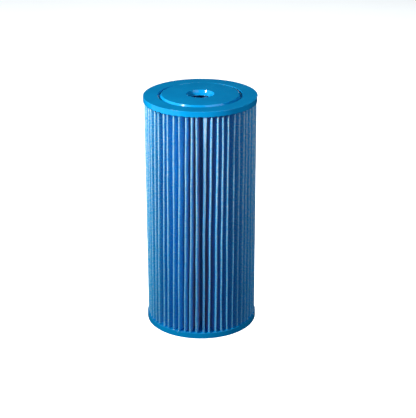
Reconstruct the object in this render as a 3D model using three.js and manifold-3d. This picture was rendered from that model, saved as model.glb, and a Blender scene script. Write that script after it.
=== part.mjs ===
// A pleated filter cartridge for water, open at both ends: two cast end caps, a pack of folded
// spun-bond cloth potted between them, the bead that glues the pack's two end leaves into a seam,
// and the slotted core tube that holds the pack against the pressure of the water.
// Millimetres. The axis is Z, the bottom cap's disc rests on z = 0, and the seam faces -Y.

import * as THREE from "three";
import { mergeVertices } from "three/addons/utils/BufferGeometryUtils.js";
import Module from "manifold-3d";

const wasm = await Module();
wasm.setup();

// Whole cartridge: the large format, nominally 4-1/2 in by 9-3/4 in, which seals end to end.
const CAP_RADIUS = 57.15;
const TOTAL_LENGTH = 245.4;

// End caps. Heights are measured outward from the cap's flat rim face.
const DISC_RISE = 1.0;
const DISC_RADIUS = 38.6;
const DISC_FOOT_RADIUS = 39.8;
const DISC_EDGE_BREAK = 0.4;
const MOAT_RADIUS = 42.3;
const MOAT_DEPTH = 1.2;
const MOAT_WALL_RUN = 0.4;
const RIM_EDGE_BREAK = 0.7;
const MOUTH_RADIUS = 13.9;
const THROAT_RADIUS = 10.0;
const FUNNEL_DEPTH = 5.2;
const TOP_WALL = 5.2;
const BOTTOM_WALL = 6.1;
const HUB_RADIUS = 15.8;
const CAP_SEGMENTS = 64;

// Pleat pack. Each pleat is two leaves of cloth joined by a fold at the tip.
const PLEATS = 55;
const TIP_RADIUS = 56.3;
const ROOT_RADIUS = 17.7;
const CLOTH = 0.6;
const ROOT_LEAF_SPACING = 1.2;
const TIP_LEAF_SPACING = 1.9;
const SEAM_LEAF_SPACING = 2.4;
const FOLD_STEPS = 3;

// Seam bead: the strip of set adhesive between the pack's two end leaves.
const BEAD_THICKNESS = 1.2;
const BEAD_INNER_RADIUS = 48.0;
const BEAD_OUTER_RADIUS = 55.9;

// Core tube.
const CORE_OUTER_RADIUS = 17.0;
const CORE_INNER_RADIUS = 15.0;
const CORE_SEGMENTS = 32;
const WINDOW_COLUMNS = 16;
const WINDOW_ROWS = 10;
const WINDOW_WIDTH = 2.6;
const WINDOW_HOOP = 6.0;
const WINDOW_END_MARGIN = 0.55;

// Potting: how the pack and the core sit in a pocket in each cap.
const POCKET_CEILING = 1.9;
const POCKET_GAP = 0.3;
const CUT_MARGIN = 1.0;

// Heights worked out from the dimensions above.
const TOP_RIM_Z = TOTAL_LENGTH - DISC_RISE;
const BOTTOM_RIM_Z = DISC_RISE;
const PACK_TOP_Z = TOP_RIM_Z - POCKET_CEILING - POCKET_GAP;
const PACK_BOTTOM_Z = BOTTOM_RIM_Z + POCKET_CEILING + POCKET_GAP;
const PACK_LENGTH = PACK_TOP_Z - PACK_BOTTOM_Z;
const PITCH = (2 * Math.PI) / PLEATS;
const SEAM_DIRECTION = -Math.PI / 2;

// ---- helpers -------------------------------------------------------------------------------

// The same geometry with positions only and its shared vertices merged into one closed skin.
function closedSkin(geometry) {
  const bare = geometry.clone();
  bare.deleteAttribute("normal");
  bare.deleteAttribute("uv");
  return mergeVertices(bare, 1e-4);
}

function toManifold(geometry) {
  const skin = closedSkin(geometry);
  const mesh = new wasm.Mesh({
    numProp: 3,
    vertProperties: new Float32Array(skin.getAttribute("position").array),
    triVerts: new Uint32Array(skin.getIndex().array),
  });
  return new wasm.Manifold(mesh);
}

function fromManifold(solid) {
  const mesh = solid.getMesh();
  const geometry = new THREE.BufferGeometry();
  geometry.setAttribute("position", new THREE.BufferAttribute(mesh.vertProperties, 3));
  geometry.setIndex(new THREE.BufferAttribute(mesh.triVerts, 1));
  geometry.computeVertexNormals();
  return geometry;
}

// A closed profile of [radius, z] points, counter-clockwise, turned about the Z axis.
function turned(profile, segments) {
  const outline = [...profile, profile[0]].map(([radius, z]) => new THREE.Vector2(radius, z));
  return new THREE.LatheGeometry(outline, segments).rotateX(Math.PI / 2);
}

// A shape in the XY plane raised from one height to another.
function raised(shape, zFrom, zTo) {
  const prism = new THREE.ExtrudeGeometry(shape, { depth: zTo - zFrom, bevelEnabled: false });
  return prism.translate(0, 0, zFrom);
}

// The point that lies `along` outward on a pleat's centre plane and `across` to its left.
function onPleat(index, along, across) {
  const angle = SEAM_DIRECTION + index * PITCH;
  return new THREE.Vector2(
    along * Math.cos(angle) - across * Math.sin(angle),
    along * Math.sin(angle) + across * Math.cos(angle),
  );
}

// ---- end caps ------------------------------------------------------------------------------

// The cap's section as [radius, height above the rim face], counter-clockwise.
function capSection(wall) {
  return [
    [THROAT_RADIUS, DISC_RISE - FUNNEL_DEPTH],
    [HUB_RADIUS, DISC_RISE - FUNNEL_DEPTH],
    [HUB_RADIUS, -wall],
    [CAP_RADIUS, -wall],
    [CAP_RADIUS, -RIM_EDGE_BREAK],
    [CAP_RADIUS - RIM_EDGE_BREAK, 0],
    [MOAT_RADIUS, 0],
    [MOAT_RADIUS - MOAT_WALL_RUN, -MOAT_DEPTH],
    [DISC_FOOT_RADIUS, -MOAT_DEPTH],
    [DISC_RADIUS + DISC_EDGE_BREAK, DISC_RISE - DISC_EDGE_BREAK],
    [DISC_RADIUS, DISC_RISE],
    [MOUTH_RADIUS, DISC_RISE],
  ];
}

// The ring-shaped pocket with one slot for each pleat, in which the pack and the core are potted.
function pocketShape() {
  const outline = [];
  const slotHalf = (TIP_LEAF_SPACING + CLOTH) / 2 + POCKET_GAP;
  const seamSlotHalf = (SEAM_LEAF_SPACING + CLOTH) / 2 + POCKET_GAP;
  const valleyRadius = slotHalf / Math.sin(PITCH / 2);
  for (let i = 0; i < PLEATS; i += 1) {
    const half = i === 0 ? seamSlotHalf : slotHalf;
    outline.push(onPleat(i, TIP_RADIUS + POCKET_GAP, -half));
    outline.push(onPleat(i, TIP_RADIUS + POCKET_GAP, half));
    outline.push(onPleat(i + 0.5, valleyRadius, 0));
  }
  const shape = new THREE.Shape(outline);
  const hub = new THREE.Path();
  hub.absarc(0, 0, CORE_INNER_RADIUS - POCKET_GAP, 0, 2 * Math.PI, true);
  shape.holes.push(hub);
  return shape;
}

// side is 1 for the top cap, whose disc faces up, and -1 for the bottom cap.
function endCap(rimZ, wall, side) {
  const section = capSection(wall).map(([radius, height]) => [radius, rimZ + side * height]);
  const body = toManifold(turned(side > 0 ? section : section.reverse(), CAP_SEGMENTS));
  const ceiling = rimZ - side * POCKET_CEILING;
  const mouth = rimZ - side * (wall + CUT_MARGIN);
  const pocket = raised(pocketShape(), Math.min(ceiling, mouth), Math.max(ceiling, mouth));
  return fromManifold(body.subtract(toManifold(pocket)));
}

// ---- pleat pack ----------------------------------------------------------------------------

// The cloth's middle line: in and out round every pleat, from one seam leaf to the other.
function clothMiddleLine() {
  const rootHalf = ROOT_LEAF_SPACING / 2;
  const tipHalf = TIP_LEAF_SPACING / 2;
  const root = ROOT_RADIUS + CLOTH / 2;
  const edge = TIP_RADIUS - CLOTH / 2;
  const foldCentre = edge - tipHalf;
  const line = [onPleat(0, edge, SEAM_LEAF_SPACING / 2), onPleat(0, root, rootHalf)];
  for (let i = 1; i < PLEATS; i += 1) {
    line.push(onPleat(i, root, -rootHalf));
    for (let step = 0; step <= FOLD_STEPS; step += 1) {
      const turn = Math.PI * (step / FOLD_STEPS - 0.5);
      line.push(onPleat(i, foldCentre + tipHalf * Math.cos(turn), tipHalf * Math.sin(turn)));
    }
    line.push(onPleat(i, root, rootHalf));
  }
  line.push(onPleat(0, root, -rootHalf), onPleat(0, edge, -SEAM_LEAF_SPACING / 2));
  return line;
}

// A line moved sideways by a distance, with mitred corners.
function shifted(line, distance) {
  const normals = line.slice(1).map((point, i) => {
    const along = point.clone().sub(line[i]).normalize();
    return new THREE.Vector2(-along.y, along.x);
  });
  return line.map((point, i) => {
    const before = normals[Math.max(i - 1, 0)];
    const after = normals[Math.min(i, normals.length - 1)];
    const mitre = distance / (1 + before.dot(after));
    return point.clone().add(before.clone().add(after).multiplyScalar(mitre));
  });
}

function pleatPack() {
  const line = clothMiddleLine();
  const outline = [...shifted(line, CLOTH / 2), ...shifted(line, -CLOTH / 2).reverse()];
  return closedSkin(raised(new THREE.Shape(outline), PACK_BOTTOM_Z, PACK_TOP_Z));
}

// ---- seam bead -----------------------------------------------------------------------------

function seamBead() {
  const half = BEAD_THICKNESS / 2;
  const outline = new THREE.Shape();
  outline.absarc(0, -BEAD_INNER_RADIUS - half, half, 0, Math.PI, false);
  outline.absarc(0, -BEAD_OUTER_RADIUS + half, half, Math.PI, 2 * Math.PI, false);
  return closedSkin(raised(outline, PACK_BOTTOM_Z, PACK_TOP_Z));
}

// ---- core tube -----------------------------------------------------------------------------

// One bar across the whole tube cuts two windows that face each other.
function windowBar(column, zMiddle, height) {
  const bar = new THREE.BoxGeometry(2 * (CORE_OUTER_RADIUS + CUT_MARGIN), WINDOW_WIDTH, height);
  return bar.rotateZ((column + 0.5) * ((2 * Math.PI) / WINDOW_COLUMNS)).translate(0, 0, zMiddle);
}

function coreTube() {
  const firstZ = BOTTOM_RIM_Z + BOTTOM_WALL + WINDOW_END_MARGIN;
  const lastZ = TOP_RIM_Z - TOP_WALL - WINDOW_END_MARGIN;
  const height = (lastZ - firstZ - (WINDOW_ROWS - 1) * WINDOW_HOOP) / WINDOW_ROWS;
  const tube = turned(
    [
      [CORE_INNER_RADIUS, PACK_BOTTOM_Z],
      [CORE_OUTER_RADIUS, PACK_BOTTOM_Z],
      [CORE_OUTER_RADIUS, PACK_TOP_Z],
      [CORE_INNER_RADIUS, PACK_TOP_Z],
    ],
    CORE_SEGMENTS,
  ).rotateZ(Math.PI / CORE_SEGMENTS);
  let solid = toManifold(tube);
  for (let row = 0; row < WINDOW_ROWS; row += 1) {
    const zMiddle = firstZ + height / 2 + row * (height + WINDOW_HOOP);
    for (let column = 0; column < WINDOW_COLUMNS / 2; column += 1) {
      solid = solid.subtract(toManifold(windowBar(column, zMiddle, height)));
    }
  }
  return fromManifold(solid);
}

// ---- assembly ------------------------------------------------------------------------------

const capResin = { color: 0x1a8fd0, roughness: 0.35, metalness: 0 };
const blueCloth = { color: 0x4f9fd6, roughness: 0.9, metalness: 0 };
const setAdhesive = { color: 0xb9dcf2, roughness: 0.5, metalness: 0 };
const corePlastic = { color: 0x2c6fa8, roughness: 0.55, metalness: 0 };

const cartridge = new THREE.Group();

function addPiece(name, geometry, look) {
  const piece = new THREE.Mesh(geometry, new THREE.MeshStandardMaterial(look));
  piece.name = name;
  cartridge.add(piece);
}

addPiece("top_end_cap", endCap(TOP_RIM_Z, TOP_WALL, 1), capResin);
addPiece("bottom_end_cap", endCap(BOTTOM_RIM_Z, BOTTOM_WALL, -1), capResin);
addPiece("pleated_media", pleatPack(), blueCloth);
addPiece("seam_bead", seamBead(), setAdhesive);
addPiece("core_tube", coreTube(), corePlastic);

export default cartridge;
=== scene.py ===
"""The looks of the pleated filter cartridge.

Every CAD node is stood for by a finer mesh of the same piece: cast caps with rounded edges and resin
that has crept up the pleats, a pack of uneven pleats in spun-bond cloth, a squeezed seam bead and a
moulded core tube. Lengths are in metres, and MM turns millimetres into metres.
"""

import math
import random
from collections import namedtuple

import bpy
import numpy as np
from mathutils import Matrix, Vector


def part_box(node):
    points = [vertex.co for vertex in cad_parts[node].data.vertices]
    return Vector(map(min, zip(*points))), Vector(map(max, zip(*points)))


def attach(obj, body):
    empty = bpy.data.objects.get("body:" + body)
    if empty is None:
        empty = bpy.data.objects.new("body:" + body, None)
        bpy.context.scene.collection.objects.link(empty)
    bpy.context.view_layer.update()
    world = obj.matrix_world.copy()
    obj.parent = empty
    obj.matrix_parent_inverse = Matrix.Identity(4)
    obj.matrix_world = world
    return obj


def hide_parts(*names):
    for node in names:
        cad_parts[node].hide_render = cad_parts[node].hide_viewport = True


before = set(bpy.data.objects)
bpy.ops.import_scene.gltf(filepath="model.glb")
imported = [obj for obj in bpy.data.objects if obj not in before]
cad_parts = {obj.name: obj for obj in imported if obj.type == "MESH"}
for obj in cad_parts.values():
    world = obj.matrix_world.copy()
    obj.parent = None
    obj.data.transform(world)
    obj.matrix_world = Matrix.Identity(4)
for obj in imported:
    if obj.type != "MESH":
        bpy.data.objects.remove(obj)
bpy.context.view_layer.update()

MM = 0.001

# ---- places taken from the frame -------------------------------------------------------------

TOP_CAP_LOW, TOP_CAP_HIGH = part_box("top_end_cap")
BOTTOM_CAP_LOW, BOTTOM_CAP_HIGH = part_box("bottom_end_cap")
PACK_LOW, PACK_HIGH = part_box("pleated_media")
CORE_LOW, CORE_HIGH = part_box("core_tube")

CAP_RADIUS = TOP_CAP_HIGH.x
TIP_RADIUS = PACK_HIGH.x
PACK_LENGTH = PACK_HIGH.z - PACK_LOW.z
DISC_RISE = 1.0 * MM
TOP_RIM_Z = TOP_CAP_HIGH.z - DISC_RISE
BOTTOM_RIM_Z = BOTTOM_CAP_LOW.z + DISC_RISE
TOP_WALL = TOP_RIM_Z - TOP_CAP_LOW.z
BOTTOM_WALL = BOTTOM_CAP_HIGH.z - BOTTOM_RIM_Z

# ---- shape of the pack -----------------------------------------------------------------------

PLEATS = 55
PITCH = math.tau / PLEATS
CLOTH = 0.6 * MM
ROOT_RADIUS = 18.0 * MM
ROOT_FOLD_DEPTH = 0.25 * MM
ROOT_FOLD_HALF = 0.43 * MM
FOLD_HALF = 0.54 * MM
LEAST_FOLD_HALF = 0.4 * MM
BELLY = 0.42 * MM
SEAM_HALF_TOP = 1.55 * MM
SEAM_HALF_LOW = 0.62 * MM
SEAM_TAPER = 0.12
PACK_LEVELS = 60
TIP_STEPS = 4

# Points along a leaf, from its root to its fold: how far along each is, how much of the belly it has,
# and how near it is to the fold's tip.
LEAF_SHARES = (0.0, 0.45, 0.82, 0.94, 1.0)
BELLY_SHARES = (0.0, 0.6, 1.0, 0.5, 0.0)
LEAF_FOLD = (0.0, 0.0, 0.0, 0.1, 0.8)

# ---- how uneven the pack is ------------------------------------------------------------------

# The pleats lean over the pack's length, by a mean and by a sway that goes round the pack. Each tip also
# stands off by its own spread, which changes by its own skew from the bottom to the top. SPREAD and SKEW
# are the usual sizes of both, in degrees. The seam pleat and the one before it have theirs fixed.
LEAN_MEAN = math.radians(-2.8)
LEAN_SWAY = math.radians(2.0)
SPREAD = 0.5
SKEW = 0.55
SEAM_PLEAT_SPREAD, SEAM_PLEAT_SKEW = 0.5, 0.0
LAST_PLEAT_SPREAD, LAST_PLEAT_SKEW = -1.0, -1.4

# Waves are (cycles over the pack's length, size), in degrees for the wander and millimetres for the rest.
WANDER_WAVES = [(1.3, 0.16), (3.1, 0.09), (7.7, 0.035)]
DIP_WAVES = [(1.1, 0.11), (3.7, 0.06), (9.5, 0.03)]
WIDTH_WAVES = [(0.9, 0.08), (2.6, 0.05), (8.3, 0.03)]
BOW_WAVES = [(0.8, 0.45), (2.1, 0.2)]
BEAD_WAVES = [(6, 0.08), (17, 0.06), (31, 0.05)]
SEEDS = {"tips": 11, "wander": 21, "dip": 31, "width": 41, "bow": 51, "bead": 61}

# ---- view and light --------------------------------------------------------------------------

VIEW_AZIMUTH = -3.3
VIEW_ELEVATION = 22.08
VIEW_ROLL = -0.176
VIEW_DISTANCE = 1.2843
VIEW_LENS = 107.2
VIEW_TARGET_RIGHT = 7.28 * MM
VIEW_TARGET_Z = 121.53 * MM

SENSOR_WIDTH = 36
CLIP_START = 0.05
CLIP_END = 50

# A light's azimuth counts from the camera, and its distance from its aim. Angles are in degrees.
LAMP_FIELDS = "azimuth elevation distance size power colour shape spread"
Lamp = namedtuple("Lamp", LAMP_FIELDS, defaults=("DISK", 180))
STUDIO_LIGHTS = {
    "key": Lamp(-51, 22, 0.80, 0.030, 0.90, (1.0, 0.97, 0.92), spread=58),
    "left_card": Lamp(-75, 18, 0.52, 0.900, 1.15, (1.0, 0.90, 0.86), shape="SQUARE"),
    "right_fill": Lamp(42, 20, 0.60, 0.600, 1.32, (1.0, 0.86, 0.87)),
    "front_fill": Lamp(3, 12, 0.80, 0.120, 0.50, (1.0, 0.75, 1.0)),
    "back_fill": Lamp(172, -9, 0.80, 0.450, 1.60, (1.0, 0.92, 0.88)),
}
FLOOR_LIGHT = Lamp(-20, 75, 2.20, 2.500, 150.0, (1.0, 1.0, 1.0))
FLOOR_RADIUS = 1.8
FLOOR_SIDES = 96
WORLD_FILL = 0.08
WORLD_COLOUR = (0.12, 0.66, 0.95, 1.0)
WHITE = (1.0, 1.0, 1.0, 1.0)


def linear(red, green, blue):
    """A colour given as 0 to 255 on a screen, as the linear colour that a shader takes."""
    def one(value):
        value /= 255
        return value / 12.92 if value <= 0.04045 else ((value + 0.055) / 1.055) ** 2.4
    return one(red), one(green), one(blue), 1.0


# ---- uneven pleats ---------------------------------------------------------------------------

def smooth_noise(name, count, times, waves):
    """For each of count pleats, a gentle curve over times: a sum of sines with its own phases."""
    draw = random.Random(SEEDS[name])
    rows = np.zeros((count, len(times)))
    for row in rows:
        for cycles, size in waves:
            phase = draw.uniform(0, math.tau)
            pace = cycles * draw.uniform(0.8, 1.25)
            row += size * draw.uniform(0.5, 1.5) * np.sin(math.tau * pace * times + phase)
    return rows


class Pleats:
    """Where each pleat runs, for an array of heights given as shares of the pack's length.

    Arrays have one row per pleat and one column per height. Azimuth 0 faces -Y, and grows towards +X.
    Pleat 0 is the seam, whose two leaves stand apart and end in raw edges.
    """

    def __init__(self, times):
        even = np.arange(PLEATS)[:, None] * PITCH
        draw = random.Random(SEEDS["tips"])
        spread = np.array([draw.gauss(0, SPREAD) for _ in range(PLEATS)])[:, None]
        skew = np.array([draw.gauss(0, SKEW) for _ in range(PLEATS)])[:, None]
        spread[0], skew[0] = SEAM_PLEAT_SPREAD, SEAM_PLEAT_SKEW
        spread[-1], skew[-1] = LAST_PLEAT_SPREAD, LAST_PLEAT_SKEW
        lean = (LEAN_MEAN + LEAN_SWAY * np.sin(even)) * (0.5 - times)
        wander = smooth_noise("wander", PLEATS, times, WANDER_WAVES)
        dip = MM * np.abs(smooth_noise("dip", PLEATS, times, DIP_WAVES))
        width = MM * smooth_noise("width", PLEATS, times, WIDTH_WAVES)
        self.root = even + lean
        self.tip = self.root + np.radians(spread + skew * (times - 0.5) + wander)
        self.tip_radius = TIP_RADIUS - CLOTH / 2 - dip
        self.bow = MM * smooth_noise("bow", PLEATS, times, BOW_WAVES)
        self.half = np.maximum(FOLD_HALF + width, LEAST_FOLD_HALF)
        self.half[0] = SEAM_HALF_LOW + (SEAM_HALF_TOP - SEAM_HALF_LOW) * np.exp((times - 1) / SEAM_TAPER)


def polar(radius, azimuth, across=0.0):
    """x and y of a point at a radius on the plane at an azimuth, moved across that plane."""
    return (
        radius * np.sin(azimuth) + across * np.cos(azimuth),
        -radius * np.cos(azimuth) + across * np.sin(azimuth),
    )


def leaf_bow(bow, share):
    """How far a leaf bows sideways at a share of the way from its root to its tip."""
    return bow * 4 * share * share * (1 - share)


def leaf_points(pleats, i, side):
    """Points of one leaf's middle line, from its root to its fold or raw edge."""
    points = []
    fold_radius = pleats.tip_radius[i] - (pleats.half[i] if i else 0)
    root_half = ROOT_RADIUS * PITCH / 2 - ROOT_FOLD_HALF
    for share, belly in zip(LEAF_SHARES, BELLY_SHARES):
        radius = ROOT_RADIUS + (fold_radius - ROOT_RADIUS) * share
        azimuth = pleats.root[i] + (pleats.tip[i] - pleats.root[i]) * share
        half = root_half + (pleats.half[i] - root_half) * share + (BELLY * belly if i else 0)
        points.append(polar(radius, azimuth, side * half + leaf_bow(pleats.bow[i], share)))
    return points


def fold_points(pleats, i):
    """The round fold at a pleat's tip, without the ends that its leaves already have."""
    points = []
    centre = pleats.tip_radius[i] - pleats.half[i]
    for step in range(1, TIP_STEPS):
        turn = math.pi * (step / TIP_STEPS - 0.5)
        radius = centre + pleats.half[i] * math.cos(turn)
        points.append(polar(radius, pleats.tip[i], pleats.half[i] * math.sin(turn)))
    return points


def middle_line(pleats):
    """The cloth's middle line at every height, with how near each of its points is to a fold's tip."""
    leaf_tip = list(LEAF_FOLD)
    line = leaf_points(pleats, 0, 1)[::-1]
    tip = leaf_tip[::-1]
    for i in range(1, PLEATS + 1):
        before, here = i - 1, i % PLEATS
        between = (pleats.root[before] + pleats.root[here] + (math.tau if i == PLEATS else 0)) / 2
        line.append(polar(ROOT_RADIUS - ROOT_FOLD_DEPTH, between))
        tip.append(0.0)
        line += leaf_points(pleats, here, -1)
        tip += leaf_tip
        if i == PLEATS:
            break
        line += fold_points(pleats, here)
        tip += [1.0] * (TIP_STEPS - 1)
        line += leaf_points(pleats, here, 1)[::-1]
        tip += leaf_tip[::-1]
    return np.array(line), np.array(tip)


# ---- mesh helpers ----------------------------------------------------------------------------

def mesh_object(name, points, faces):
    mesh = bpy.data.meshes.new(name)
    mesh.from_pydata([tuple(p) for p in points], [], faces)
    mesh.validate()
    mesh.shade_smooth()
    piece = bpy.data.objects.new(name, mesh)
    bpy.context.scene.collection.objects.link(piece)
    return piece


def add_share(piece, name, values):
    """A number for each vertex, which a material reads by name."""
    attribute = piece.data.attributes.new(name, "FLOAT", "POINT")
    attribute.data.foreach_set("value", np.asarray(values, dtype=np.float32))


def ring_faces(rings, count, closed=True):
    """Quads between neighbouring rings of count points each; closed joins the last ring to the first."""
    faces = []
    for ring in range(rings if closed else rings - 1):
        low, high = ring * count, (ring + 1) % rings * count
        for i in range(count):
            j = (i + 1) % count
            faces.append((low + i, low + j, high + j, high + i))
    return faces


# ---- end caps --------------------------------------------------------------------------------

DISC_RADIUS = 38.8 * MM
DISC_FOOT_RADIUS = 39.8 * MM
MOAT_FLOOR_RADIUS = 41.9 * MM
MOAT_RADIUS = 42.3 * MM
MOAT_DEPTH = 1.2 * MM
MOUTH_RADIUS = 13.9 * MM
BEND_RADIUS = 12.85 * MM
BEND_DEPTH = 2.7 * MM
THROAT_RADIUS = 10.0 * MM
THROAT_DEPTH = 5.2 * MM
HUB_RADIUS = 16.0 * MM
CAP_COLUMNS = PLEATS * 12
HOLD = 0.06 * MM

# How far the resin climbs the pleats, for the cap whose disc faces up and the one whose disc faces down, and
# how fast that fades beside them. Between them it sinks, from SINK_START inside the cap's edge on.
CREEP_HEIGHTS = {1: 1.6 * MM, -1: 0.9 * MM}
CREEP_REACH = 0.8 * MM
RESIN_SINK = 1.0 * MM
SINK_START = 0.3 * MM
SINK_RAMP = 1.2 * MM
POTTED_STEP = 1.1 * MM
POTTED_BAND = 0.35 * MM
FLAT = 1e-6


def rounded(corners):
    """A closed outline from (radius, height, rounding, steps) corners, each rounded by an arc.

    A point held just outside each arc keeps the flat faces flat when they are shaded smooth.
    Returns the outline's points and how strongly each lies on a convex edge that rubs.
    """
    points, edges = [], []
    count = len(corners)
    for i, (x, y, rounding, steps) in enumerate(corners):
        corner = Vector((x, y))
        if not rounding:
            points.append((x, y))
            edges.append(0.0)
            continue
        back = (Vector(corners[i - 1][:2]) - corner).normalized()
        ahead = (Vector(corners[(i + 1) % count][:2]) - corner).normalized()
        half_angle = back.angle(ahead) / 2
        reach = rounding / math.tan(half_angle)
        centre = corner + (back + ahead).normalized() * (rounding / math.sin(half_angle))
        start, end = corner + back * reach - centre, corner + ahead * reach - centre
        turn = start.angle_signed(end)
        convex = 1.0 if turn < 0 else 0.0
        points.append(tuple(corner + back * (reach + HOLD)))
        edges.append(0.0)
        for step in range(steps + 1):
            spoke = Matrix.Rotation(-turn * step / steps, 2) @ start
            points.append(tuple(centre + spoke))
            edges.append(convex if 0 < step < steps else 0.0)
        points.append(tuple(corner + ahead * (reach + HOLD)))
        edges.append(0.0)
    return points, edges


def cap_corners(wall):
    """The cap's section, counter-clockwise: (radius, height above the rim face, rounding, steps)."""
    return [
        (THROAT_RADIUS, DISC_RISE - THROAT_DEPTH, 0.35 * MM, 3),
        (HUB_RADIUS, DISC_RISE - THROAT_DEPTH, 0, 0),
        (HUB_RADIUS, -wall, 0, 0),
        (CAP_RADIUS, -wall, 0.3 * MM, 3),
        (CAP_RADIUS, 0, 0.35 * MM, 5),
        (MOAT_RADIUS, 0, 0.25 * MM, 3),
        (MOAT_FLOOR_RADIUS, -MOAT_DEPTH, 0.3 * MM, 3),
        (DISC_FOOT_RADIUS, -MOAT_DEPTH, 0.4 * MM, 3),
        (DISC_RADIUS, DISC_RISE, 0.35 * MM, 5),
        (MOUTH_RADIUS, DISC_RISE, 0.2 * MM, 3),
        (BEND_RADIUS, DISC_RISE - BEND_DEPTH, 2.0 * MM, 4),
    ]


def with_potted_rings(points, edges, wall):
    """Adds rings across the potted face, which the resin's creep needs, and none elsewhere."""
    fine_points, fine_edges = [], []
    for i, (radius, height) in enumerate(points):
        fine_points.append((radius, height))
        fine_edges.append(edges[i])
        next_radius, next_height = points[(i + 1) % len(points)]
        potted = abs(height + wall) < FLAT and abs(next_height + wall) < FLAT
        if potted and next_radius - radius > POTTED_STEP:
            steps = int((next_radius - radius) / POTTED_STEP)
            for step in range(1, steps):
                fine_points.append((radius + (next_radius - radius) * step / steps, height))
                fine_edges.append(0.0)
    return fine_points, fine_edges


def creep(radius, azimuths, pleats, height):
    """How far the resin has climbed the pleats, or sunk between them, for an array of azimuths."""
    share = np.clip((radius - ROOT_RADIUS) / (TIP_RADIUS - ROOT_RADIUS), 0, 1)
    middle = pleats.root[:, 0] + (pleats.tip[:, 0] - pleats.root[:, 0]) * share
    apart = (azimuths[:, None] - middle[None, :] + math.pi) % math.tau - math.pi
    beside = np.abs(apart) * radius - (pleats.half[:, 0] + CLOTH / 2)[None, :]
    beyond = max(radius - TIP_RADIUS, 0)
    near = np.exp(-np.hypot(np.maximum(beside, 0), beyond).min(axis=1) / CREEP_REACH)
    inside = np.clip((CAP_RADIUS - radius - SINK_START) / SINK_RAMP, 0, 1)
    return height * near - RESIN_SINK * inside * (1 - near)


def end_cap(name, rim_z, wall, side, pack_share):
    """A cast cap. side is 1 where its disc faces up and -1 where it faces down."""
    outline, edges = with_potted_rings(*rounded(cap_corners(wall)), wall)
    pleats = Pleats(np.array([pack_share]))
    azimuths = np.arange(CAP_COLUMNS) * (math.tau / CAP_COLUMNS)
    points, shares = [], []
    for (radius, height), edge in zip(outline, edges):
        x, y = polar(radius, azimuths)
        heights = np.full(CAP_COLUMNS, height)
        if radius > ROOT_RADIUS and height < POTTED_BAND - wall:
            heights -= creep(radius, azimuths, pleats, CREEP_HEIGHTS[side])
        points.append(np.stack([x, y, rim_z + side * heights], axis=1))
        shares += [edge] * CAP_COLUMNS
    faces = ring_faces(len(outline), CAP_COLUMNS)
    if side < 0:
        faces = [face[::-1] for face in faces]
    piece = mesh_object(name, np.concatenate(points), faces)
    add_share(piece, "edge", shares)
    return piece


# ---- pleat pack ------------------------------------------------------------------------------

def across_line(line):
    """Unit vectors square to a line of points, at every height. Shapes are (points, 2, heights)."""
    along = np.empty_like(line)
    along[1:-1] = line[2:] - line[:-2]
    along[0] = line[1] - line[0]
    along[-1] = line[-1] - line[-2]
    along /= np.linalg.norm(along, axis=1, keepdims=True)
    return np.stack([-along[:, 1], along[:, 0]], axis=1)


def pleated_pack():
    """The folded strip of cloth: a closed skin round its middle line at every height."""
    times = np.linspace(0, 1, PACK_LEVELS)
    line, tip = middle_line(Pleats(times))
    shift = across_line(line) * (CLOTH / 2)
    loop = np.concatenate([line - shift, (line + shift)[::-1]])
    count = len(loop)
    half = count // 2
    heights = PACK_LOW.z + PACK_LENGTH * times
    points = np.empty((PACK_LEVELS, count, 3))
    points[:, :, 0] = loop[:, 0].T
    points[:, :, 1] = loop[:, 1].T
    points[:, :, 2] = heights[:, None]
    faces = ring_faces(PACK_LEVELS, count, closed=False)
    last = (PACK_LEVELS - 1) * count
    for i in range(half - 1):
        j = count - 1 - i
        faces.append((i + 1, i, j, j - 1))
        faces.append((last + i, last + i + 1, last + j - 1, last + j))
    piece = mesh_object("pleat_pack", points.reshape(-1, 3), faces)
    add_share(piece, "fold", np.tile(np.concatenate([tip, tip[::-1]]), PACK_LEVELS))
    lay_out_cloth(piece, line, heights, count)
    return piece


def lay_out_cloth(piece, line, heights, count):
    """A UV map in metres on the unfolded strip, so that the fibres run on across the folds."""
    steps = np.linalg.norm(np.diff(line.mean(axis=2), axis=0), axis=1)
    along = np.concatenate([[0], np.cumsum(steps)])
    along = np.concatenate([along, along[::-1]])
    flat = np.empty((len(heights), count, 2))
    flat[:, :, 0] = along[None, :]
    flat[:, :, 1] = heights[:, None]
    flat = flat.reshape(-1, 2)
    layer = piece.data.uv_layers.new(name="strip")
    corner = np.empty(len(piece.data.loops), dtype=np.int32)
    piece.data.loops.foreach_get("vertex_index", corner)
    layer.data.foreach_set("uv", flat[corner].ravel())


# ---- seam bead -------------------------------------------------------------------------------

BEAD_INNER_RADIUS = 48.0 * MM
BEAD_RECESS = 0.25 * MM
BEAD_SWELL = 0.12 * MM
BEAD_SHORT = 0.6 * MM
BEAD_TAPER = 0.4


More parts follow.
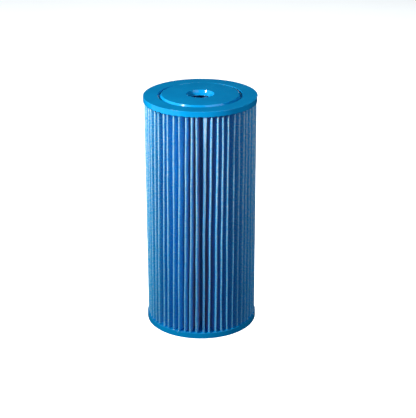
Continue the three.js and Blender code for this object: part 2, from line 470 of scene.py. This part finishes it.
def seam_bead():
    """The squeezed adhesive between the two seam leaves, a little short of their raw edges."""
    times = np.linspace(0, 1, PACK_LEVELS)
    pleats = Pleats(times)
    half = pleats.half[0] - CLOTH / 2
    swell = MM * smooth_noise("bead", 1, times, BEAD_WAVES)[0]
    outer = TIP_RADIUS - BEAD_RECESS + swell - BEAD_SWELL
    outer -= BEAD_SHORT * (1 - np.exp((times - 1) / BEAD_TAPER))
    loop = [
        (np.full_like(times, BEAD_INNER_RADIUS), half),
        (np.full_like(times, BEAD_INNER_RADIUS), -half),
        (outer - BEAD_SWELL, -half),
        (outer + BEAD_SWELL, -half * 0.5),
        (outer + BEAD_SWELL * 1.5, half * 0),
        (outer + BEAD_SWELL, half * 0.5),
        (outer - BEAD_SWELL, half),
    ]
    points = np.empty((PACK_LEVELS, len(loop), 3))
    for i, (radius, across) in enumerate(loop):
        share = (radius - ROOT_RADIUS) / (TIP_RADIUS - ROOT_RADIUS)
        azimuth = pleats.root[0] + (pleats.tip[0] - pleats.root[0]) * share
        sideways = across + leaf_bow(pleats.bow[0], share)
        points[:, i, 0], points[:, i, 1] = polar(radius, azimuth, sideways)
    points[:, :, 2] = (PACK_LOW.z + PACK_LENGTH * times)[:, None]
    faces = ring_faces(PACK_LEVELS, len(loop), closed=False)
    last = (PACK_LEVELS - 1) * len(loop)
    faces.append(tuple(reversed(range(len(loop)))))
    faces.append(tuple(last + i for i in range(len(loop))))
    return mesh_object("seam_bead_squeezed", points.reshape(-1, 3), faces)


# ---- core tube -------------------------------------------------------------------------------

CORE_OUTER_RADIUS = 17.0 * MM
CORE_INNER_RADIUS = 15.0 * MM
WINDOW_COLUMNS = 16
WINDOW_ROWS = 10
WINDOW_WIDTH = 2.6 * MM
WINDOW_HOOP = 6.0 * MM
WINDOW_END_MARGIN = 0.55 * MM
RIB_STEPS = 3
WINDOW_STEPS = 2
CORE_EDGE = 0.35 * MM
CORE_EDGE_STEPS = 2
SHARP_ANGLE = math.radians(50)


def core_azimuths():
    """The tube's columns as (azimuth, whether the strip after it holds windows)."""
    half_window = WINDOW_WIDTH / 2 / CORE_OUTER_RADIUS
    pitch = math.tau / WINDOW_COLUMNS
    columns = []
    for i in range(WINDOW_COLUMNS):
        middle = (i + 0.5) * pitch
        for step in range(WINDOW_STEPS):
            columns.append((middle - half_window + step * 2 * half_window / WINDOW_STEPS, True))
        rib = pitch - 2 * half_window
        for step in range(RIB_STEPS):
            columns.append((middle + half_window + step * rib / RIB_STEPS, False))
    return columns


def core_heights():
    """The tube's levels as (height, whether the band above it holds windows)."""
    first = BOTTOM_CAP_HIGH.z + WINDOW_END_MARGIN
    last = TOP_CAP_LOW.z - WINDOW_END_MARGIN
    height = (last - first - (WINDOW_ROWS - 1) * WINDOW_HOOP) / WINDOW_ROWS
    levels = [(CORE_LOW.z, False)]
    for row in range(WINDOW_ROWS):
        low = first + row * (height + WINDOW_HOOP)
        levels += [(low, True), (low + height, False)]
    levels.append((CORE_HIGH.z, False))
    return levels


def core_tube():
    """The moulded core: a tube with rows of tall windows, its window edges rounded."""
    columns, levels = core_azimuths(), core_heights()
    count, rows = len(columns), len(levels)
    points = []
    for radius in (CORE_OUTER_RADIUS, CORE_INNER_RADIUS):
        for z, _ in levels:
            for azimuth, _ in columns:
                points.append((*polar(radius, azimuth), z))

    def at(skin, row, column):
        return skin * rows * count + row * count + column % count

    def open_at(row, column):
        inside = 0 <= row < rows - 1
        return not inside or (levels[row][1] and columns[column % count][1])

    faces = []
    for row in range(rows - 1):
        for column in range(count):
            if open_at(row, column):
                continue
            low, high, right = (row, column), (row + 1, column), (row, column + 1)
            far = (row + 1, column + 1)
            faces.append((at(0, *low), at(0, *right), at(0, *far), at(0, *high)))
            faces.append((at(1, *low), at(1, *high), at(1, *far), at(1, *right)))
            walls = [
                (open_at(row - 1, column), low, right),
                (open_at(row, column + 1), right, far),
                (open_at(row + 1, column), far, high),
                (open_at(row, column - 1), high, low),
            ]
            for is_open, start, end in walls:
                if is_open:
                    faces.append((at(0, *end), at(0, *start), at(1, *start), at(1, *end)))
    piece = mesh_object("core_tube_moulded", points, faces)
    soften = piece.modifiers.new("rounded_edges", "BEVEL")
    soften.width = CORE_EDGE
    soften.segments = CORE_EDGE_STEPS
    soften.limit_method = "ANGLE"
    soften.angle_limit = SHARP_ANGLE
    return piece


# ---- materials -------------------------------------------------------------------------------

class Nodes:
    """A short way to build one material's nodes."""

    def __init__(self, name):
        self.material = bpy.data.materials.new(name)
        self.material.use_nodes = True
        self.tree = self.material.node_tree
        self.shader = self.tree.nodes["Principled BSDF"]

    def add(self, kind, **values):
        node = self.tree.nodes.new(kind)
        for name, value in values.items():
            setattr(node, name, value)
        return node

    def join(self, source, target):
        self.tree.links.new(source, target)

    def feed(self, socket, value):
        if isinstance(value, bpy.types.NodeSocket):
            self.join(value, socket)
        else:
            socket.default_value = value

    def maths(self, operation, first, second):
        node = self.add("ShaderNodeMath", operation=operation)
        self.feed(node.inputs[0], first)
        self.feed(node.inputs[1], second)
        return node.outputs[0]

    def scaled(self, source, sizes, turn=(0, 0, 0)):
        node = self.add("ShaderNodeMapping")
        self.join(source, node.inputs["Vector"])
        node.inputs["Scale"].default_value = sizes
        node.inputs["Rotation"].default_value = turn
        return node.outputs[0]

    def noise(self, source, scale, detail=2.0, roughness=0.5, output="Fac"):
        node = self.add("ShaderNodeTexNoise")
        self.join(source, node.inputs["Vector"])
        node.inputs["Scale"].default_value = scale
        node.inputs["Detail"].default_value = detail
        node.inputs["Roughness"].default_value = roughness
        return node.outputs[output]

    def ramp(self, value, low, high, to_low=0.0, to_high=1.0):
        node = self.add("ShaderNodeMapRange", interpolation_type="SMOOTHSTEP")
        self.feed(node.inputs["Value"], value)
        for name, number in zip(("From Min", "From Max", "To Min", "To Max"), (low, high, to_low, to_high)):
            node.inputs[name].default_value = number
        return node.outputs[0]

    def mix(self, share, first, second):
        node = self.add("ShaderNodeMix", data_type="RGBA")
        self.feed(node.inputs["Factor"], share)
        self.feed(node.inputs["A"], first)
        self.feed(node.inputs["B"], second)
        return node.outputs["Result"]

    def attribute(self, name):
        return self.add("ShaderNodeAttribute", attribute_name=name).outputs["Fac"]

    def bump(self, height, distance, strength=1.0, under=None):
        node = self.add("ShaderNodeBump")
        self.join(height, node.inputs["Height"])
        node.inputs["Distance"].default_value = distance
        node.inputs["Strength"].default_value = strength
        if under is not None:
            self.join(under, node.inputs["Normal"])
        return node.outputs["Normal"]

    def object_place(self):
        return self.add("ShaderNodeTexCoord").outputs["Object"]

    def height(self, strip):
        node = self.add("ShaderNodeSeparateXYZ")
        self.join(strip, node.inputs[0])
        return node.outputs["Y"]

    def set(self, **values):
        """Feeds the shader's inputs, whose names are written with underscores for their spaces."""
        for name, value in values.items():
            self.feed(self.shader.inputs[name.replace("_", " ")], value)


# Colours as they look on a screen, 0 to 255, each as its deeper and its clearer tone.
RESIN_TONES = (6, 146, 215), (6, 154, 222)
CLOTH_TONES = (13, 160, 233), (22, 174, 245)
ADHESIVE_TONES = (172, 218, 248), (206, 234, 252)
CORE_TONES = (39, 97, 158), (48, 111, 173)
RESIN_SPECK = (14, 166, 236)
RESIN_RUBBED = (60, 188, 250)
CLOTH_FIBRE = (66, 182, 242)
# The paler fold colour is partly real wear and partly a painted highlight and sheen on the lit ridges.
CLOTH_WEAR_AND_HIGHLIGHT = (150, 204, 246)
# The lint colour is partly real fuzz and partly a painted sheen.
CLOTH_LINT_AND_SHEEN = (190, 216, 242)

# The floor's two tones, in linear light.
PAPER_DEEP = (0.90, 0.90, 0.90, 1)
PAPER_CLEAR = (0.93, 0.93, 0.93, 1)

# The fineness of each noise, in cells per metre.
RESIN_NOISE = {"clouds": 55, "specks": 2600, "scuffs": 210, "rubs": 320, "waves": 90, "grain": 3200}
CLOTH_NOISE = {"drift": 260, "clouds": 420, "flecks": 700, "patches": 650}
ADHESIVE_NOISE = {"clouds": 380, "ripples": 900}
CORE_NOISE = {"flow": 500, "grain": 1500}
PAPER_NOISE = 9

# The cloth's filaments. Each layer is (turn in degrees, spacing). Drift is how far the noise pushes them off
# their lines, fineness is that along them as a share of that across, fade is the span of noise over which
# one appears, and share is how strongly their colour shows.
FIBRE_LAYERS = ((12, 0.45 * MM), (58, 0.5 * MM), (101, 0.4 * MM), (149, 0.55 * MM))
FIBRE_DRIFT = 2.2 * MM
FIBRE_FINENESS = 0.12
FIBRE_FADE = 0.16
FIBRE_SHARE = 0.25

# Painted light: the paler folds and lint on the cloth grow between these two heights, from the first share
# to the second, so that the cloth is paler towards the top as a painted highlight and sheen.
PAINTED_LIGHT_HEIGHTS = 30 * MM, 220 * MM
PAINTED_LIGHT_SHARES = 0.4, 0.9


def two_tones(n, share, tones):
    """A colour between a material's two tones."""
    deep, clear = tones
    return n.mix(share, linear(*deep), linear(*clear))


def cap_resin():
    """Cast resin: semi-gloss, faintly mottled, with rubbed edges and a fine mould texture."""
    n = Nodes("cap_resin")
    place = n.object_place()
    clouds = n.ramp(n.noise(place, RESIN_NOISE["clouds"], 3), 0.3, 0.7)
    specks = n.ramp(n.noise(place, RESIN_NOISE["specks"]), 0.62, 0.75)
    scuffs = n.ramp(n.noise(n.scaled(place, (1, 1, 9)), RESIN_NOISE["scuffs"], 4, 0.65), 0.55, 0.75)
    rubs = n.ramp(n.noise(place, RESIN_NOISE["rubs"], 4), 0.35, 0.7, 0.1, 0.42)
    rubbed = n.maths("MULTIPLY", n.attribute("edge"), rubs)
    base = two_tones(n, clouds, RESIN_TONES)
    base = n.mix(n.maths("MULTIPLY", specks, 0.08), base, linear(*RESIN_SPECK))
    n.set(Base_Color=n.mix(rubbed, base, linear(*RESIN_RUBBED)))
    dull = n.maths("ADD", n.ramp(clouds, 0, 1, 0.08, 0.11), n.maths("MULTIPLY", scuffs, 0.05))
    n.set(Roughness=n.maths("ADD", dull, n.maths("MULTIPLY", rubbed, 0.15)))
    n.set(IOR=1.5, Specular_IOR_Level=0.4)
    waves = n.bump(n.noise(place, RESIN_NOISE["waves"]), 0.08 * MM, 0.35)
    n.set(Normal=n.bump(n.noise(place, RESIN_NOISE["grain"], 3), 0.004 * MM, 0.3, waves))
    return n.material


def fibre_layer(n, strip, turn, spacing):
    """One set of long, loosely parallel filaments on the strip, as a value of 0 to 1."""
    push = n.add("ShaderNodeVectorMath", operation="MULTIPLY_ADD")
    n.join(n.noise(strip, CLOTH_NOISE["drift"], 3, output="Color"), push.inputs[0])
    push.inputs[1].default_value = (FIBRE_DRIFT, FIBRE_DRIFT, 0)
    n.join(strip, push.inputs[2])
    sizes = (1 / spacing, FIBRE_FINENESS / spacing, 1)
    turned = n.scaled(push.outputs[0], sizes, (0, 0, math.radians(turn)))
    return n.ramp(n.noise(turned, 1.0, 2, 0.55), 0.5, 0.5 + FIBRE_FADE)


def filter_cloth():
    """Spun-bond polyester: blue filaments laid every way, paler where folded, partly from wear and partly as
    a painted highlight and sheen on the ridges.
    """
    n = Nodes("filter_cloth")
    strip = n.add("ShaderNodeUVMap", uv_map="strip").outputs[0]
    fibres = 0.0
    for turn, spacing in FIBRE_LAYERS:
        fibres = n.maths("MAXIMUM", fibres, fibre_layer(n, strip, turn, spacing))
    clouds = n.ramp(n.noise(strip, CLOTH_NOISE["clouds"], 4, 0.6), 0.35, 0.68)
    flecks = n.ramp(n.noise(strip, CLOTH_NOISE["flecks"], 3, 0.7), 0.5, 0.58)
    tall = n.scaled(strip, (1, 0.25, 1))
    patches = n.ramp(n.noise(tall, CLOTH_NOISE["patches"], 3, 0.6), 0.32, 0.68, 0.3, 1.0)
    fold = n.ramp(n.attribute("fold"), 0.5, 1.0)
    # painted light: a share that grows towards the top of the pack, standing in for the key light's
    # highlight and sheen there
    painted_top_light = n.ramp(n.height(strip), *PAINTED_LIGHT_HEIGHTS, *PAINTED_LIGHT_SHARES)
    # paler fold tips: partly real wear, partly a painted highlight and sheen, in patches and faded by the
    # painted top light
    wear_and_highlight = n.maths("MULTIPLY", n.maths("MULTIPLY", fold, patches), painted_top_light)
    # lint flecks: partly real fuzz, partly a painted sheen, more on the folds and faded by the painted top
    # light
    lint_and_sheen = n.maths("MULTIPLY", n.maths("MULTIPLY", flecks, n.ramp(fold, 0, 1, 0.4, 0.75)), painted_top_light)
    body = two_tones(n, clouds, CLOTH_TONES)
    body = n.mix(n.maths("MULTIPLY", fibres, FIBRE_SHARE), body, linear(*CLOTH_FIBRE))
    body = n.mix(wear_and_highlight, body, linear(*CLOTH_WEAR_AND_HIGHLIGHT))
    n.set(Base_Color=n.mix(lint_and_sheen, body, linear(*CLOTH_LINT_AND_SHEEN)))
    n.set(Roughness=n.ramp(fibres, 0, 1, 0.88, 0.72))
    n.set(Specular_IOR_Level=0.3)
    n.set(Sheen_Weight=0.35, Sheen_Roughness=0.3, Sheen_Tint=(1.0, 0.96, 0.96, 1))
    n.set(Subsurface_Weight=0.55, Subsurface_Radius=(0.8, 1.6, 2.4), Subsurface_Scale=MM)
    thick = n.maths("ADD", n.maths("MULTIPLY", fibres, 0.55), n.maths("MULTIPLY", clouds, 0.45))
    n.set(Normal=n.bump(thick, 0.12 * MM, 0.6))
    return n.material


def seam_adhesive():
    """Set hot-melt adhesive: pale, with small ripples along its length."""
    n = Nodes("seam_adhesive")
    place = n.object_place()
    clouds = n.ramp(n.noise(place, ADHESIVE_NOISE["clouds"], 3), 0.35, 0.7)
    n.set(Base_Color=two_tones(n, clouds, ADHESIVE_TONES))
    n.set(Roughness=n.ramp(clouds, 0, 1, 0.42, 0.58))
    ripples = n.noise(n.scaled(place, (1, 1, 0.4)), ADHESIVE_NOISE["ripples"], 3)
    n.set(Normal=n.bump(ripples, 0.1 * MM, 0.6))
    return n.material


def core_plastic():
    """Moulded polypropylene: blue, satin, with faint flow lines along the tube."""
    n = Nodes("core_plastic")
    place = n.object_place()
    flow = n.ramp(n.noise(n.scaled(place, (1, 1, 0.1)), CORE_NOISE["flow"], 3), 0.35, 0.65)
    n.set(Base_Color=two_tones(n, flow, CORE_TONES))
    n.set(Roughness=n.ramp(flow, 0, 1, 0.42, 0.55))
    n.set(Normal=n.bump(n.noise(place, CORE_NOISE["grain"], 3), 0.03 * MM, 0.5))
    return n.material


def pale_floor():
    """A plain pale sheet of paper."""
    n = Nodes("pale_floor")
    tone = n.noise(n.object_place(), PAPER_NOISE)
    n.set(Base_Color=n.mix(tone, PAPER_DEEP, PAPER_CLEAR))
    n.set(Roughness=0.9)
    return n.material


# ---- the cartridge ---------------------------------------------------------------------------

def place_piece(piece, node, material):
    piece.data.materials.append(material)
    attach(piece, "root")
    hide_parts(node)
    return piece


resin = cap_resin()
cartridge = [
    place_piece(
        end_cap("top_cap_cast", TOP_RIM_Z, TOP_WALL, 1, 1.0), "top_end_cap", resin
    ),
    place_piece(
        end_cap("bottom_cap_cast", BOTTOM_RIM_Z, BOTTOM_WALL, -1, 0.0), "bottom_end_cap", resin
    ),
    place_piece(pleated_pack(), "pleated_media", filter_cloth()),
    place_piece(seam_bead(), "seam_bead", seam_adhesive()),
    place_piece(core_tube(), "core_tube", core_plastic()),
]


# ---- stage, light and camera -----------------------------------------------------------------

def around(azimuth, elevation, distance, centre):
    """A point seen from a centre at an azimuth counted from the camera, positive to its right."""
    turn, rise = math.radians(VIEW_AZIMUTH + azimuth), math.radians(elevation)
    away = Vector((math.sin(turn) * math.cos(rise), -math.cos(turn) * math.cos(rise), math.sin(rise)))
    return centre + away * distance


def pale_sheet():
    """The floor, which diffuse and glossy rays pass by, so it throws no light at the cartridge."""
    bpy.ops.mesh.primitive_circle_add(vertices=FLOOR_SIDES, radius=FLOOR_RADIUS, fill_type="NGON")
    sheet = bpy.context.object
    sheet.name = "floor"
    sheet.data.materials.append(pale_floor())
    sheet.visible_diffuse = False
    sheet.visible_glossy = False
    return sheet


def area_light(name, settings, aim, only):
    """A soft light, aimed at a point, that falls on the objects in only."""
    data = bpy.data.lights.new(name, "AREA")
    data.shape = settings.shape
    data.size = settings.size
    data.spread = math.radians(settings.spread)
    data.energy = settings.power
    data.color = settings.colour
    lamp = bpy.data.objects.new(name, data)
    bpy.context.scene.collection.objects.link(lamp)
    lamp.location = around(settings.azimuth, settings.elevation, settings.distance, aim)
    lamp.rotation_mode = "QUATERNION"
    lamp.rotation_quaternion = (aim - lamp.location).to_track_quat("-Z", "Y")
    group = bpy.data.collections.new(name + "_falls_on")
    for thing in only:
        group.objects.link(thing)
    lamp.light_linking.receiver_collection = group
    return lamp


def studio_lights(pieces, sheet):
    """The lights on the cartridge's pieces, and one on the floor that the cartridge doesn't shade."""
    for name, settings in STUDIO_LIGHTS.items():
        area_light(name, settings, Vector((0, 0, TOP_CAP_HIGH.z)), pieces)
    lamp = area_light("floor_light", FLOOR_LIGHT, Vector((0, 0, 0)), [sheet])
    lamp.light_linking.blocker_collection = lamp.light_linking.receiver_collection


def studio_world():
    """A white backdrop to the camera, and a dim cool fill to everything it lights."""
    world = bpy.data.worlds.new("studio")
    world.use_nodes = True
    tree = world.node_tree
    tree.nodes.clear()
    out = tree.nodes.new("ShaderNodeOutputWorld")
    mixer = tree.nodes.new("ShaderNodeMixShader")
    path = tree.nodes.new("ShaderNodeLightPath")
    shades = []
    for colour, strength in ((WORLD_COLOUR, WORLD_FILL), (WHITE, 1.0)):
        shade = tree.nodes.new("ShaderNodeBackground")
        shade.inputs["Color"].default_value = colour
        shade.inputs["Strength"].default_value = strength
        shades.append(shade)
    tree.links.new(path.outputs["Is Camera Ray"], mixer.inputs[0])
    tree.links.new(shades[0].outputs[0], mixer.inputs[1])
    tree.links.new(shades[1].outputs[0], mixer.inputs[2])
    tree.links.new(mixer.outputs[0], out.inputs["Surface"])
    bpy.context.scene.world = world


def photo_camera():
    data = bpy.data.cameras.new("camera")
    data.lens = VIEW_LENS
    data.sensor_width = SENSOR_WIDTH
    data.clip_start = CLIP_START
    data.clip_end = CLIP_END
    camera = bpy.data.objects.new("camera", data)
    bpy.context.scene.collection.objects.link(camera)
    turn = math.radians(VIEW_AZIMUTH)
    right = Vector((math.cos(turn), math.sin(turn), 0))
    target = right * VIEW_TARGET_RIGHT + Vector((0, 0, VIEW_TARGET_Z))
    camera.location = around(0, VIEW_ELEVATION, VIEW_DISTANCE, target)
    look = (target - camera.location).to_track_quat("-Z", "Y").to_matrix()
    roll = Matrix.Rotation(math.radians(VIEW_ROLL), 3, "Z")
    camera.rotation_mode = "QUATERNION"
    camera.rotation_quaternion = (look @ roll).to_quaternion()
    bpy.context.scene.camera = camera


studio_lights(cartridge, pale_sheet())
studio_world()
photo_camera()
bpy.context.scene.view_settings.view_transform = "Standard"
